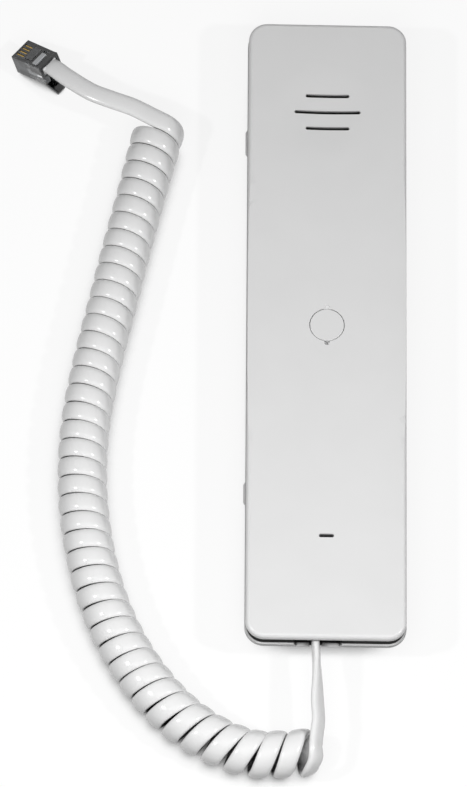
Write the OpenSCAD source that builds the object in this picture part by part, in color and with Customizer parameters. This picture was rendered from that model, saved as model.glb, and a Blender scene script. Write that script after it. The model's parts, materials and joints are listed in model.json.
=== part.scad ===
// Slimline telephone handset with its curly cord and clear four-contact modular plug.
// The handset lies on its back, front face up, ear end towards +Y, origin under its middle.
// Millimetres. Every piece is its own module and its own node.

/* [Handset case] */
// Width of the handset over its long edges
body_w = 46; // [43:1:54]
// Length of the handset from the mouth end to the ear end
body_l = 193.6; // [182:0.2:220]
// Thickness of the handset from its back to its front face
body_h = 18; // [17:0.5:22]
// Corner radius of the handset seen from the front
corner_r = 5.4; // [4:0.2:8]
// Radius of the rounded edge round the front face
edge_r = 1.3; // [0.8:0.1:1.8]
// Thickness of the front plate
plate_t = 2; // [2:0.1:2.6]
// Wall thickness of the back shell
wall = 2; // [1.6:0.1:2.4]
// Height of the dark gap between the two shells
gap_h = 3.2; // [2.4:0.1:3.4]
// How far the dark gap lies behind the front outline
gap_in = 0.4; // [0.2:0.1:1]
// Height of the rim round the back shell
rim_h = 1.5; // [1.2:0.1:1.8]
// How far the rim lies behind the front outline, less than 0 where it stands out past it
rim_in = -0.15; // [-0.3:0.05:0.3]
// Step from the rim in to the tapered back
rim_step = 0.6; // [0.4:0.1:0.8]
// How far the back draws in at each long side
side_taper = 8; // [6:0.5:10]
// How far the back draws in at each end
end_taper = 12; // [10:0.5:14]
// Width of the seating land on top of the rim
land_w = 3.1; // [2.8:0.1:3.4]
// Thickness of the tongue that locates the two shells
tongue_t = 1.2; // [1:0.1:1.5]
// Length of a shallow hollow along each long edge of the front face
scallop_l = 98; // [80:2:120]
// Reach of that hollow in from the edge
scallop_w = 7.2; // [5:0.2:9]
// Slope of that hollow in degrees
scallop_slope = 6; // [4:0.5:7]

/* [Ear end] */
// Distance of the ear slots from the ear end
ear_inset = 28.4; // [27:0.2:34]
// Diameter of the soft dish round the ear slots
dish_d = 32; // [28:0.5:34]
// Depth of the dish
dish_depth = 0.7; // [0.3:0.1:0.9]
// Length of the middle ear slot
slit_long = 19.3; // [16:0.1:20]
// Length of the two outer ear slots
slit_short = 12.8; // [10:0.1:14]
// Height of an ear slot
slit_h = 1.1; // [0.6:0.1:1.4]
// Spacing of the ear slots
slit_pitch = 5.2; // [4:0.1:6]
// Diameter of the receiver unit
receiver_d = 26.4; // [24:0.2:27]
// Depth of the receiver unit
receiver_h = 6; // [5:0.5:7]

/* [Mouth end] */
// Distance of the mouth slot from the mouth end
mic_inset = 31.5; // [30:0.1:36]
// Length of the mouth slot
mic_slot_l = 4.4; // [3:0.1:6]
// Height of the mouth slot
mic_slot_h = 1.1; // [0.8:0.1:1.6]
// Diameter of the microphone capsule
mic_d = 9.7; // [8:0.1:10.4]
// Depth of the microphone capsule
mic_h = 4.2; // [3:0.1:4.6]
// Rubber wall round the microphone capsule
boot_wall = 1.05; // [0.8:0.05:1.4]

/* [Centre key] */
// Diameter of the round key in the middle of the front face
key_d = 9.8; // [9:0.1:11]
// Clearance between the key and its opening
key_gap = 0.2; // [0.15:0.05:0.3]
// Width of the two half-round notches beside the key
notch_w = 1.6; // [1.2:0.1:2]
// Reach of the notches past the key
notch_reach = 1.4; // [1:0.1:2]
// Depth of the notch at the mouth side of the key
notch_depth = 0.9; // [0.6:0.1:1.2]
// Diameter of the small blind hole in the notch on the mouth side
notch_hole_d = 0.9; // [0.6:0.1:1.1]
// Travel of the key
key_travel = 0.6; // [0.4:0.1:0.8]
// Side of the square switch under the key
switch_w = 6; // [5:0.5:8]

/* [Inside] */
// Width of the circuit board
board_w = 24; // [22:1:26]
// Length of the circuit board
board_l = 64; // [60:1:66]
// Thickness of the circuit board
board_t = 1.6; // [1:0.2:2]
// Distance of the board's top below the front face
board_drop = 9; // [8.6:0.1:9.4]
// Width of the steel balance weight
weight_w = 10; // [8:1:12]
// Length of the steel balance weight
weight_l = 40; // [30:1:44]
// Height of the steel balance weight
weight_h = 3; // [2:0.5:4]
// Diameter of the case screws
case_screw_d = 2.8; // [2.5:0.1:3.2]
// Diameter of the board screws
board_screw_d = 2; // [1.8:0.1:2.4]

/* [Cord outlet and plugs] */
// Width of the cord outlet in the mouth end
outlet_w = 13.8; // [13.2:0.2:16]
// Sideways place of the outlet's middle
outlet_x = -2.2; // [-3:0.1:-1]
// Width of a modular plug
plug_w = 7.65; // [7.4:0.05:7.7]
// Height of a modular plug without its latch
plug_h = 6.6; // [5.8:0.1:6.8]
// Length of a modular plug
plug_l = 12; // [11:0.1:12.5]
// Reach of the latch past the back of the plug
latch_over = 2.4; // [1.8:0.1:3]
// Width of the latch
latch_w = 3.2; // [2.6:0.1:3.8]
// Angle of the latch from the plug in the handset
latch_angle = 11; // [9:0.5:12]
// Angle of the latch from the free plug
latch_free = 28; // [18:1:30]
// Clearance of a plug in its socket
plug_gap = 0.1; // [0.05:0.05:0.2]

/* [Cord] */
// Width of the flat cord
cord_w = 5.3; // [4.6:0.1:5.4]
// Thickness of the flat cord
cord_t = 2.5; // [2.2:0.1:2.6]
// Radius of the curls at the middle of the cord
curl_r = 5.95; // [5.5:0.05:6.3]
// Number of curls
curls = 41; // [30:1:42]
// Width of the cord where it is curled
curl_w = 4.4; // [4:0.1:4.6]

/* [Hidden] */
fine = 64;
corner_n = 12;
eps = 0.5;

// Levels of the case, from the back (0) to the front face (body_h)
plate_z = body_h - plate_t;
rim_top = plate_z - gap_h;
rim_bot = rim_top - rim_h;
taper_in = rim_in + rim_step;
land_in = rim_in + land_w;
fit = 0.1;
cave_r = max(1, corner_r - land_in);
tongue_in = land_in + fit;
tongue_bot = rim_bot + fit;
side_power = 2;
end_power = 1.7;

// Places along the handset
ear_y = body_l / 2 - ear_inset;
mic_y = -body_l / 2 + mic_inset;
key_y = 0.5;
screw_clear = 24.4;
mic_clear = 15.3;
screw_y = [ear_y - screw_clear, mic_y + mic_clear];

// Board and its four posts
board_top = body_h - board_drop;
board_z = board_top - board_t;
board_y = -2;
post_in = 3.2;
post_d = 5;
post_x = board_w / 2 - post_in;
post_dy = board_l / 2 - post_in;
board_posts = [for (sx = [-1, 1], sy = [-1, 1]) [sx * post_x, board_y + sy * post_dy]];

// Switch and key
switch_h = 3.4;
switch_top = board_top + switch_h;
plunger_d = 3.4;
plunger_up = 1.2;
plunger_in = 1.2;
plunger_fit = 0.08;
plunger_top = switch_top + plunger_up;
key_flange_t = 0.8;
key_flange_d = key_d + 2 * notch_reach + 0.8;
key_flange_top = plate_z - 0.05;
key_collar_gap = 0.3;
key_collar_t = 1.2;
key_collar_h = 3;
key_stem_d = 5;
touch = 0.05;

// Case screws
boss_d = 6.6;
boss_len = 6.4;
boss_z = plate_z - boss_len;
post_outer = 7.6;
head_d = 5.2;
head_h = 1.8;
head_gap = 0.2;
head_seat = 4;

// Receiver stack, from the front plate down
cloth_t = 0.3;
gasket_t = 1;
collar_gap = 0.2;
collar_t = 1.4;
collar_h = 5;
cup_t = 1.2;
cup_top = plate_z - cloth_t - gasket_t;
cup_z = cup_top - receiver_h;
diaphragm_t = 0.3;
pole_d = 7.6;
voice_gap = 0.4;
voice_t = 0.5;
pad_d = 14;

// Microphone stack
boot_d = mic_d + 2 * boot_wall;
boot_gap = 0.05;
boot_collar_t = 1.3;
boot_collar_h = 4;
boot_lip = 0.8;
boot_floor = 0.9;
boot_z = plate_z - boot_lip - mic_h - boot_floor;

// Jack and plugs
jack_h = 9.2;
jack_z = plate_z - jack_h / 2 - 0.2;
jack_inset = 9.3;
jack_y = -body_l / 2 + jack_inset;
jack_depth = 12;
jack_w = 16.6;
plug_seat = 4.9;
plug_back_y = -body_l / 2 + plug_seat;
plug_nose_y = plug_back_y + plug_l;
plug_side_x = outlet_x + 3.7;
socket_back = plug_nose_y + 0.4;
lip_z = rim_top - 1.1;
lip_slant = 0.8;
cord_notch_w = 3.5;
cord_notch_z = rim_top - 4.5;
cord_rise = 4.3;
cord_grip = 5.6;
cord_x = plug_side_x - cord_rise;
contact_n = 4;
contact_pitch = 1.27;
contact_t = 0.35;
slot_t = 0.55;
latch_t = 1;
latch_root = 1.2;
latch_side = 0.15;

// Where the free plug lies: under its nose, its heading and its tilt
free_x = -88;
free_y = 90.4;
free_z = 0.4;
free_turn = -127.5;
free_pitch = 26.5;
free_roll = -5;

// Middle line of the curled part, and how the curls open towards the handset
coil_route = [[-48.8, 66.5], [-53.4, 47.4], [-57.9, 28.4], [-62.1, 9.4], [-66.3, -9.6],
    [-69.3, -29], [-69.7, -48.6], [-67.2, -68.1], [-61.6, -87.2], [-52.2, -104.7],
    [-39.1, -119.2], [-21.5, -128], [-2.3, -127.3]];
route_step = 19.6;
curl_pitch = 5.6;
curl_open = 0.052;
open_from = 31;
curl_rings = 8;
end_twist = 72;
start_swell = 0.4;
swell_curls = 4;
end_thin = 0.45;
thin_from = 34;
end_push = 0.9;
end_rest = 0.25;
end_lean = 1.6;
lean_from = 30;
lead_end = [-52, 68.2, 14];
tail_start = [-2.3, -123.4, 12.5];
lead_route = [[-75.7, 80.7, 11.7], [-69.2, 75.8, 13.2], [-63.4, 73.1, 13.9], [-57.5, 70.9, 14.1]];
tail_route = [[-2.2, -114.3, 12.6], [-2.3, -106.8, 12.6], [-2.6, -100.8, 12.5], [-2.8, -96.8, 12.2]];

// ---------- helpers ----------
function unit(v) = v / norm(v);
function rr_pts(w, l, r) = [for (c = [0:3]) for (k = [0:corner_n])
    let (a = 90 * c + 90 * k / corner_n, sx = (c == 0 || c == 3) ? 1 : -1, sy = c < 2 ? 1 : -1)
    [sx * (w / 2 - r) + r * cos(a), sy * (l / 2 - r) + r * sin(a)]];

// A closed solid through rounded rectangles, each level [z, width, length, radius]
module loft(levels) {
    n = 4 * (corner_n + 1);
    m = len(levels);
    pts = [for (v = levels) for (p = rr_pts(v[1], v[2], v[3])) [p[0], p[1], v[0]]];
    sides = [for (i = [0:m - 2]) for (j = [0:n - 1]) for (f = [0, 1])
        let (a = i * n + j, b = i * n + (j + 1) % n)
        f == 0 ? [a, a + n, b + n] : [a, b + n, b]];
    low = [[for (j = [0:n - 1]) j]];
    high = [[for (j = [0:n - 1]) (m - 1) * n + n - 1 - j]];
    polyhedron(pts, concat(sides, low, high), convexity = 4);
}

// A prism of the case outline drawn in by a distance
module outline(inset, z0, z1) {
    translate([0, 0, z0])
        linear_extrude(z1 - z0)
            polygon(rr_pts(body_w - 2 * inset, body_l - 2 * inset, max(1, corner_r - inset)));
}

// A flat cord or wire through points, with the flat side facing ups, half sizes a and b
module ribbon(path, ups, a, b, n) {
    m = len(path);
    sec = n == 6 ? [[1, 0], [0.62, 1], [-0.62, 1], [-1, 0], [-0.62, -1], [0.62, -1]]
        : [for (j = [0:n - 1]) [cos(360 * j / n), sin(360 * j / n)] * 1];
    tan = [for (i = [0:m - 1]) unit(path[min(i + 1, m - 1)] - path[max(i - 1, 0)])];
    pts = [for (i = [0:m - 1])
        let (w = unit(cross(ups[i], tan[i])), u = cross(tan[i], w))
        for (s = sec) path[i] + w * a * s[0] + u * b * s[1]];
    sides = [for (i = [0:m - 2]) for (j = [0:n - 1]) for (f = [0, 1])
        let (p = i * n + j, q = i * n + (j + 1) % n)
        f == 0 ? [p, p + n, q + n] : [p, q + n, q]];
    caps = [for (j = [1:n - 2]) for (f = [0, 1])
        f == 0 ? [0, j, j + 1] : [(m - 1) * n, (m - 1) * n + j + 1, (m - 1) * n + j]];
    polyhedron(pts, concat(sides, caps), convexity = 10);
}

// A wire of round section through points, side by side pairs are made by the caller
module wire(path, d) {
    ribbon(path, [for (p = path) [0.3, 0.5, 1]], d / 2, d / 2, 8);
}

// Draw-in of the tapered back at a height, and of its inner face
function fall(z) = (rim_bot - z) / rim_bot;
function draw_in(z, total, power) = taper_in + (total - taper_in) * pow(max(0, fall(z)), power);
function slope(z, total, power) =
    power * (total - taper_in) * pow(max(0, fall(z)), power - 1) / rim_bot;
function inner_in(z, total, power) =
    max(land_in, draw_in(z, total, power) + wall * sqrt(1 + pow(slope(z, total, power), 2)));
function back_level(z) = let (s = draw_in(z, side_taper, side_power), e = draw_in(z, end_taper, end_power))
    [z, body_w - 2 * s, body_l - 2 * e, corner_r];
function cave_level(z) = let (s = inner_in(z, side_taper, side_power), e = inner_in(z, end_taper, end_power))
    [z, body_w - 2 * s, body_l - 2 * e, cave_r];

// A slot with round ends, cut down through a plate
module slot_cut(len, h, z0, z1) {
    translate([0, 0, z0]) {
        for (s = [-1, 1])
            translate([s * (len - h) / 2, 0, 0])
                cylinder(d = h, h = z1 - z0, $fn = 24);
        translate([-(len - h) / 2, -h / 2, 0])
            cube([len - h, h, z1 - z0]);
    }
}

module tube_ring(d_out, d_in, z0, z1) {
    translate([0, 0, z0])
        difference() {
            cylinder(d = d_out, h = z1 - z0, $fn = fine);
            translate([0, 0, -1])
                cylinder(d = d_in, h = z1 - z0 + 2, $fn = fine);
        }
}

// The outlet in the mouth end: a low lip with slanted ends, a hollow behind it and a notch for the cord
module outlet_cut() {
    w = outlet_w / 2;
    low = w - lip_slant;
    end = -body_l / 2;
    translate([outlet_x, end + land_in + 1, 0])
        rotate([90, 0, 0])
            linear_extrude(land_in + 2)
                polygon([[-low, lip_z], [low, lip_z], [w, rim_top], [w, rim_top + 1], [-w, rim_top + 1],
                    [-w, rim_top]]);
    for (v = [[lip_z - 0.8, 1.05], [rim_bot - 2, 1.95], [rim_bot - 4.4, 4.2]])
        translate([outlet_x - w, end + v[1], v[0]])
            cube([2 * w, jack_y - end - v[1], rim_top + 1 - v[0]]);
    translate([cord_x, jack_y, 0])
        rotate([90, 0, 0])
            linear_extrude(jack_inset + 1) {
                translate([0, cord_notch_z + cord_notch_w / 2])
                    circle(d = cord_notch_w, $fn = 32);
                translate([-cord_notch_w / 2, cord_notch_z + cord_notch_w / 2])
                    square([cord_notch_w, rim_top + 1 - cord_notch_z - cord_notch_w / 2]);
            }
}

// ---------- case ----------
dish_n = 8;
notch_l = notch_reach + key_gap + 1.6;
notch_mid = key_d / 2 + notch_reach - notch_l / 2;
scallop_drop = scallop_w * tan(scallop_slope);
scallop_r = pow(scallop_l / 2, 2) / (2 * scallop_drop);
scallop_y = 4;
scallop_yaw = 0.5;

module scallops() {
    for (s = [-1, 1])
        translate([s * (body_w / 2 - scallop_w), scallop_y, body_h])
            rotate([0, 0, s > 0 ? scallop_yaw : 180 - scallop_yaw])
                rotate([0, 90 + scallop_slope, 0])
                    translate([-scallop_r, 0, -1])
                        cylinder(r = scallop_r, h = 30, $fn = 720);
}

module front_shell() color([0.87, 0.87, 0.86]) {
    steps = 6;
    levels = concat([[plate_z, body_w, body_l, corner_r]],
        [for (k = [0:steps]) let (a = 90 * k / steps, i = edge_r * (1 - cos(a)))
            [body_h - edge_r + edge_r * sin(a), body_w - 2 * i, body_l - 2 * i, corner_r - i]]);
    difference() {
        union() {
            loft(levels);
            // locating tongue
            difference() {
                outline(tongue_in, tongue_bot, plate_z + eps);
                outline(tongue_in + tongue_t, tongue_bot - 1, plate_z);
            }
            // key guide, receiver collar, microphone collar
            translate([0, key_y, 0])
                tube_ring(key_flange_d + 2 * key_collar_gap + 2 * key_collar_t,
                    key_flange_d + 2 * key_collar_gap, plate_z - key_collar_h, plate_z + eps);
            translate([0, ear_y, 0])
                tube_ring(receiver_d + 2 * collar_gap + 2 * collar_t, receiver_d + 2 * collar_gap,
                    plate_z - collar_h, plate_z + eps);
            translate([0, mic_y, 0])
                tube_ring(boot_d + 2 * boot_gap + 2 * boot_collar_t, boot_d + 2 * boot_gap,
                    plate_z - boot_collar_h, plate_z + eps);
            for (y = screw_y)
                translate([0, y, boss_z])
                    cylinder(d = boss_d, h = boss_len + eps, $fn = fine);
        }
        scallops();
        // bores inside the collars are kept clear up to the plate
        translate([0, key_y, plate_z - key_collar_h - 1])
            cylinder(d = key_flange_d + 2 * key_collar_gap, h = key_collar_h + 1, $fn = fine);
        translate([0, ear_y, plate_z - collar_h - 1])
            cylinder(d = receiver_d + 2 * collar_gap, h = collar_h + 1, $fn = fine);
        translate([0, mic_y, plate_z - boot_collar_h - 1])
            cylinder(d = boot_d + 2 * boot_gap, h = boot_collar_h + 1, $fn = fine);
        // key opening with its two notches
        translate([0, key_y, plate_z - 1])
            cylinder(d = key_d + 2 * key_gap, h = plate_t + 2, $fn = fine);
        for (v = [[-1, notch_depth], [1, notch_depth / 2]])
            translate([0, key_y + v[0] * notch_mid, 0])
                rotate([0, 0, 90])
                    slot_cut(notch_l, notch_w, body_h - v[1], body_h + 1);
        translate([0, key_y - key_d / 2 - notch_reach + notch_w / 2, body_h - 1.6])
            cylinder(d = notch_hole_d, h = 2, $fn = 24);
        // dish and ear slots
        translate([0, ear_y, 0])
            rotate_extrude($fn = 72)
                polygon(concat([[0, body_h + 1]], [for (k = [0:dish_n]) [dish_d / 2 * k / dish_n,
                    body_h - dish_depth * (1 + cos(180 * k / dish_n)) / 2]], [[dish_d / 2, body_h + 1]]));
        for (k = [-1, 0, 1])
            translate([0, ear_y + k * slit_pitch, 0])
                slot_cut(k == 0 ? slit_long : slit_short, slit_h, plate_z - 1, body_h + 1);
        // mouth slot
        translate([0, mic_y, 0])
            slot_cut(mic_slot_l, mic_slot_h, plate_z - 1, body_h + 1);
        // screw pilots
        for (y = screw_y)
            translate([0, y, boss_z - 1])
                cylinder(d = case_screw_d + 0.1, h = boss_len, $fn = fine);
        // the tongue is open over the cord outlet
        translate([outlet_x - outlet_w / 2, -body_l / 2, tongue_bot - 1])
            cube([outlet_w, jack_inset + 1, plate_z - tongue_bot + 1]);
    }
}

module gap_seal() color([0.1, 0.1, 0.1]) {
    difference() {
        outline(gap_in, rim_top, plate_z);
        outline(land_in, rim_top - 1, plate_z + 1);
        translate([outlet_x - outlet_w / 2, -body_l / 2 - 1, rim_top - 1])
            cube([outlet_w, land_in + 2, gap_h + 2]);
    }
}

// A small pad with rounded ends on the left side, under the rim
lug_z = rim_bot - 1.3;
lug_out = 0.65;
module lug(y, l) {
    r = 1.2;
    translate([-body_w / 2 - lug_out + r, y, lug_z])
        rotate([90, 0, 0])
            translate([0, 0, -l / 2])
                rotate_extrude($fn = 32)
                    polygon([[0, 0], [r - 0.5, 0], [r, 0.9], [r, l - 0.9], [r - 0.5, l], [0, l]]);
}

lug_ear_y = 61.35;
lug_ear_l = 8.5;
lug_mouth_y = -49.5;
lug_mouth_l = 7.2;
cradle_w = 12;
cradle_l = 8;

module rear_shell() color([0.74, 0.74, 0.73]) {
    cave_zs = [wall, rim_bot * 0.3, rim_bot * 0.5, rim_bot * 0.75, rim_bot];
    difference() {
        union() {
            loft([for (k = [0:5]) back_level(rim_bot * k / 5)]);
            outline(rim_in, rim_bot - 0.01, rim_top);
            lug(lug_ear_y * body_l / 193.6, lug_ear_l);
            lug(lug_mouth_y * body_l / 193.6, lug_mouth_l);
        }
        difference() {
            union() {
                loft(concat([for (z = cave_zs) cave_level(z)],
                    [[rim_top + 1, body_w - 2 * land_in, body_l - 2 * land_in, cave_r]]));
            }
            // posts, pedestals and the cradle stay standing in the cave
            for (y = screw_y)
                translate([0, y, 0])
                    cylinder(d = post_outer, h = boss_z, $fn = fine);
            for (p = board_posts)
                translate([p[0], p[1], 0])
                    cylinder(d = post_d, h = board_z, $fn = fine);
            translate([0, mic_y, 0])
                cylinder(d = boot_d - 3, h = boot_z, $fn = fine);
            translate([plug_side_x - plug_h / 2 - cradle_w / 2, jack_y + 1.5, 0])
                cube([cradle_w, cradle_l, jack_z - jack_h / 2]);
        }
        outlet_cut();
        for (y = screw_y)
            translate([0, y, 0]) {
                translate([0, 0, -1])
                    cylinder(d = head_d + 2 * head_gap, h = head_seat + 1, $fn = fine);
                cylinder(d = case_screw_d + 0.4, h = boss_z + 1, $fn = fine);
            }
        for (p = board_posts)
            translate([p[0], p[1], wall])
                cylinder(d = board_screw_d + 0.1, h = board_z, $fn = 32);
    }
}

module case_screws() color([0.75, 0.75, 0.77]) {
    for (y = screw_y)
        translate([0, y, 0])
            difference() {
                union() {
                    translate([0, 0, head_seat - head_h])
                        cylinder(d = head_d, h = head_h, $fn = fine);
                    translate([0, 0, head_seat - 0.5])
                        cylinder(d = case_screw_d, h = boss_z + boss_len - 2 - head_seat, $fn = fine);
                }
                translate([-1.6, -0.3, head_seat - head_h - 1])
                    cube([3.2, 0.6, 1.9]);
                translate([-0.3, -1.6, head_seat - head_h - 1])
                    cube([0.6, 3.2, 1.9]);
            }
}

// ---------- key and switch ----------
module push_key() color([0.87, 0.87, 0.86])
    translate([0, key_y, 0])
        union() {
            translate([0, 0, key_flange_top - key_flange_t])
                cylinder(d = key_flange_d, h = key_flange_t, $fn = fine);
            translate([0, 0, key_flange_top - 0.3])
                cylinder(d = key_d, h = body_h - key_flange_top + 0.3, $fn = fine);
            translate([0, 0, plunger_top + touch])
                cylinder(d = key_stem_d, h = key_flange_top - plunger_top - touch - 0.3, $fn = fine);
        }

module switch_body() color([0.14, 0.14, 0.15]) {
    difference() {
        translate([-switch_w / 2, key_y - switch_w / 2, board_top])
            cube([switch_w, switch_w, switch_h]);
        translate([0, key_y, switch_top - plunger_in - key_travel - 0.3])
            cylinder(d = plunger_d + 2 * plunger_fit, h = 5, $fn = fine);
    }
}

module switch_plunger() color([0.75, 0.15, 0.12])
    translate([0, key_y, switch_top - plunger_in])
        cylinder(d = plunger_d, h = plunger_in + plunger_up, $fn = fine);

// ---------- board ----------
module circuit_board() color([0.1, 0.35, 0.2])
    difference() {
        translate([-board_w / 2, board_y - board_l / 2, board_z])
            cube([board_w, board_l, board_t]);
        for (p = board_posts)
            translate([p[0], p[1], board_z - 1])
                cylinder(d = board_screw_d + 0.4, h = board_t + 2, $fn = 32);
    }

board_head_d = board_screw_d + 1.8;
board_head_h = 1.2;
board_shank_l = 5.2;

module board_screws() color([0.75, 0.75, 0.77])
    for (p = board_posts)
        translate([p[0], p[1], 0]) {
            translate([0, 0, board_top])
                cylinder(d = board_head_d, h = board_head_h, $fn = 32);
            translate([0, 0, board_top - board_shank_l])
                cylinder(d = board_screw_d, h = board_shank_l + board_head_h / 2, $fn = 32);
        }

// two connectors stand between the screw heads at the mouth end, one in the middle at the ear end
header_gap = 0.4;
header_l = post_x - board_head_d / 2 - 1.5 * header_gap;
header_w = 4;
header_h = 3;
header_edge = 0.6;
header_x = (header_l + header_gap) / 2;
header_dy = board_l / 2 - header_w / 2 - header_edge;
header_ear = [0, board_y + header_dy];
header_mic = [-header_x, board_y - header_dy];
header_jack = [header_x, board_y - header_dy];

module board_connectors() color([0.92, 0.91, 0.86])
    for (p = [header_ear, header_mic, header_jack])
        translate([p[0] - header_l / 2, p[1] - header_w / 2, board_top])
            cube([header_l, header_w, header_h]);

chip_l = 6;
chip_w = 5;
chip_h = 1.6;
chip_y = 14;
cap_d = 5;
cap_h = 4;
cap_x = 6;
cap_y = 15;
resistor_l = 2;
resistor_w = 1.25;
resistor_h = 0.6;
resistor_pitch = 3.6;
resistor_y = 9;

module board_components() color([0.16, 0.16, 0.17]) {
    // driver chip
    translate([-chip_l / 2, board_y + chip_y, board_top])
        cube([chip_l, chip_w, chip_h]);
    // smoothing capacitors
    for (s = [-1, 1])
        translate([s * cap_x, board_y - cap_y, board_top])
            cylinder(d = cap_d, h = cap_h, $fn = 32);
    // small resistors
    for (k = [-1.5:1.5])
        translate([k * resistor_pitch - resistor_l / 2, board_y - resistor_y, board_top])
            cube([resistor_l, resistor_w, resistor_h]);
}

module balance_weight() color([0.6, 0.6, 0.62])
    translate([-weight_w / 2, board_y - weight_l / 2, wall])
        cube([weight_w, weight_l, weight_h]);

// ---------- receiver ----------
module ear_cloth() color([0.08, 0.08, 0.08])
    translate([0, ear_y, plate_z - cloth_t])
        cylinder(d = receiver_d, h = cloth_t, $fn = fine);

module receiver_gasket() color([0.2, 0.2, 0.2])
    translate([0, ear_y, 0])
        tube_ring(receiver_d, receiver_d - 5, plate_z - cloth_t - gasket_t, plate_z - cloth_t);

module receiver_diaphragm() color([0.85, 0.83, 0.75])
    translate([0, ear_y, cup_top - 1])
        cylinder(d = receiver_d - 2 * cup_t - 0.1, h = diaphragm_t, $fn = fine);

module receiver_coil() color([0.72, 0.45, 0.2])
    translate([0, ear_y, 0])
        tube_ring(pole_d + 2 * voice_gap + 2 * voice_t, pole_d + 2 * voice_gap, cup_z + cup_t + 1.2,
            cup_top - 1);

module receiver_magnet() color([0.55, 0.55, 0.57])
    translate([0, ear_y, cup_z + cup_t])
        cylinder(d = pole_d, h = receiver_h - cup_t - 1.6, $fn = fine);

module receiver_frame() color([0.3, 0.3, 0.31])
    translate([0, ear_y, cup_z])
        difference() {
            cylinder(d = receiver_d, h = receiver_h, $fn = fine);
            translate([0, 0, receiver_h - 1])
                cylinder(d = receiver_d - 2 * cup_t, h = 2, $fn = fine);
            translate([0, 0, cup_t])
                cylinder(d = receiver_d - 2 * cup_t - 2, h = receiver_h, $fn = fine);
        }

module receiver_pad() color([0.25, 0.25, 0.25])
    translate([0, ear_y, wall])
        cylinder(d = pad_d, h = cup_z - wall, $fn = fine);

// ---------- microphone ----------
module mic_boot() color([0.12, 0.12, 0.12])
    translate([0, mic_y, boot_z])
        difference() {
            cylinder(d = boot_d, h = boot_lip + mic_h + boot_floor, $fn = fine);
            translate([0, 0, boot_floor])
                cylinder(d = mic_d, h = mic_h, $fn = fine);
            translate([0, 0, boot_floor + mic_h - 1])
                cylinder(d = mic_slot_l + 1, h = boot_lip + 2, $fn = fine);
        }

module mic_capsule() color([0.7, 0.7, 0.72])
    translate([0, mic_y, boot_z + boot_floor])
        cylinder(d = mic_d, h = mic_h, $fn = fine);

// ---------- jack ----------
jack_top = jack_z + jack_h / 2;
jack_x = outlet_x;
groove_w = 0.6;
groove_h = 0.9;

module jack_housing() color([0.07, 0.07, 0.07])
    difference() {
        translate([jack_x - jack_w / 2, jack_y, jack_z - jack_h / 2])
            cube([jack_w, jack_depth, jack_h]);
        // socket for the plug
        translate([plug_side_x - plug_h - plug_gap, jack_y - 1, jack_z - plug_w / 2 - plug_gap])
            cube([plug_h + 2 * plug_gap, socket_back - jack_y + 1, plug_w + 2 * plug_gap]);
        // channel for the latch
        translate([plug_side_x, jack_y - 1, jack_z - latch_w / 2 - 0.4])
            cube([3.2, socket_back - jack_y + 1, latch_w + 0.8]);
        // grooves for the contact wires
        for (k = [0:contact_n - 1])
            translate([plug_side_x - plug_h - plug_gap - groove_h, jack_y + 2,
                jack_z + (k - (contact_n - 1) / 2) * contact_pitch - groove_w / 2])
                cube([groove_h + 0.1, jack_depth, groove_w]);
    }

module jack_contacts() color([0.83, 0.68, 0.3])
    for (k = [0:contact_n - 1])
        translate([plug_side_x - plug_h - plug_gap - groove_h + 0.1, jack_y + 2.3,
            jack_z + (k - (contact_n - 1) / 2) * contact_pitch - contact_t / 2])
            cube([groove_h - 0.25, jack_depth - 1.3, contact_t]);

// ---------- wires ----------
lead_d = 1;
lead_gap = 0.2;
module lead_pair(path, across) {
    for (s = [-1, 1])
        wire([for (p = path) p + across * s * (lead_d + lead_gap) / 2], lead_d);
}

lead_step = 1;
function steps_of(v) = v * lead_step;

module receiver_leads() color([0.65, 0.1, 0.1]) {
    z0 = board_top + header_h / 2;
    y0 = header_ear[1] + header_w / 2 + touch;
    y1 = ear_y - receiver_d / 2 - touch;
    z1 = cup_z + lead_d + lead_gap / 2 + touch;
    x1 = steps_of(7);
    x2 = steps_of(5);
    ym = (y0 + y1) / 2;
    lead_pair([[0, y0, z0], [0, y0 + steps_of(1.5), z0], [steps_of(3), y0 + steps_of(4), z0 - steps_of(1)],
        [x1, y0 + steps_of(7.5), z1], [x1, ym, z1], [x1 - steps_of(1), y1 - steps_of(3), z1],
        [x2, y1 - steps_of(1.3), z1], [x2, y1 + steps_of(0.7), z1]], [0, 0, 1]);
}

module mic_leads() color([0.1, 0.2, 0.6]) {
    z0 = board_top + header_h / 2;
    y0 = header_mic[1] - header_w / 2 - touch;
    x0 = header_mic[0];
    x1 = x0 - steps_of(2.6);
    y1 = mic_y + boot_d / 2 + touch;
    z1 = z0 - steps_of(5);
    lead_pair([[x0, y0, z0], [x0, y0 - steps_of(1.5), z0], [x1, y0 - steps_of(5), z0 - steps_of(1)],
        [x1, y0 - steps_of(12), z0 - steps_of(2.4)], [x1, (y0 + y1) / 2 - steps_of(4), z0 - steps_of(3)],
        [x0, y1 + steps_of(3.4), z0 - steps_of(4.4)], [x0 + steps_of(3), y1 + steps_of(1.6), z1],
        [x0 + steps_of(4.2), y1 - steps_of(1.2), z1]], [0, 0, 1]);
}

module jack_leads() color([0.1, 0.45, 0.2]) {
    z0 = board_top + header_h / 2;
    y0 = header_jack[1] - header_w / 2 - touch;
    x0 = header_jack[0];
    x1 = x0 + steps_of(5.6);
    y1 = jack_y + jack_depth + touch;
    lead_pair([[x0, y0, z0], [x0, y0 - steps_of(1.5), z0], [x1 - steps_of(0.6), y0 - steps_of(6), z0 - steps_of(1)],
        [x1, y0 - steps_of(13), z0 - steps_of(2)], [x1, mic_y + steps_of(8), z0 - steps_of(3)],
        [x1, mic_y - steps_of(3), z0 - steps_of(3)], [x0 + steps_of(2), y1 + steps_of(5), z0 - steps_of(2)],
        [x0 - steps_of(1), y1 + steps_of(2), z0 - steps_of(1)], [x0 - steps_of(1), y1, z0 - steps_of(1)]], [0, 0, 1]);
}

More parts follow.
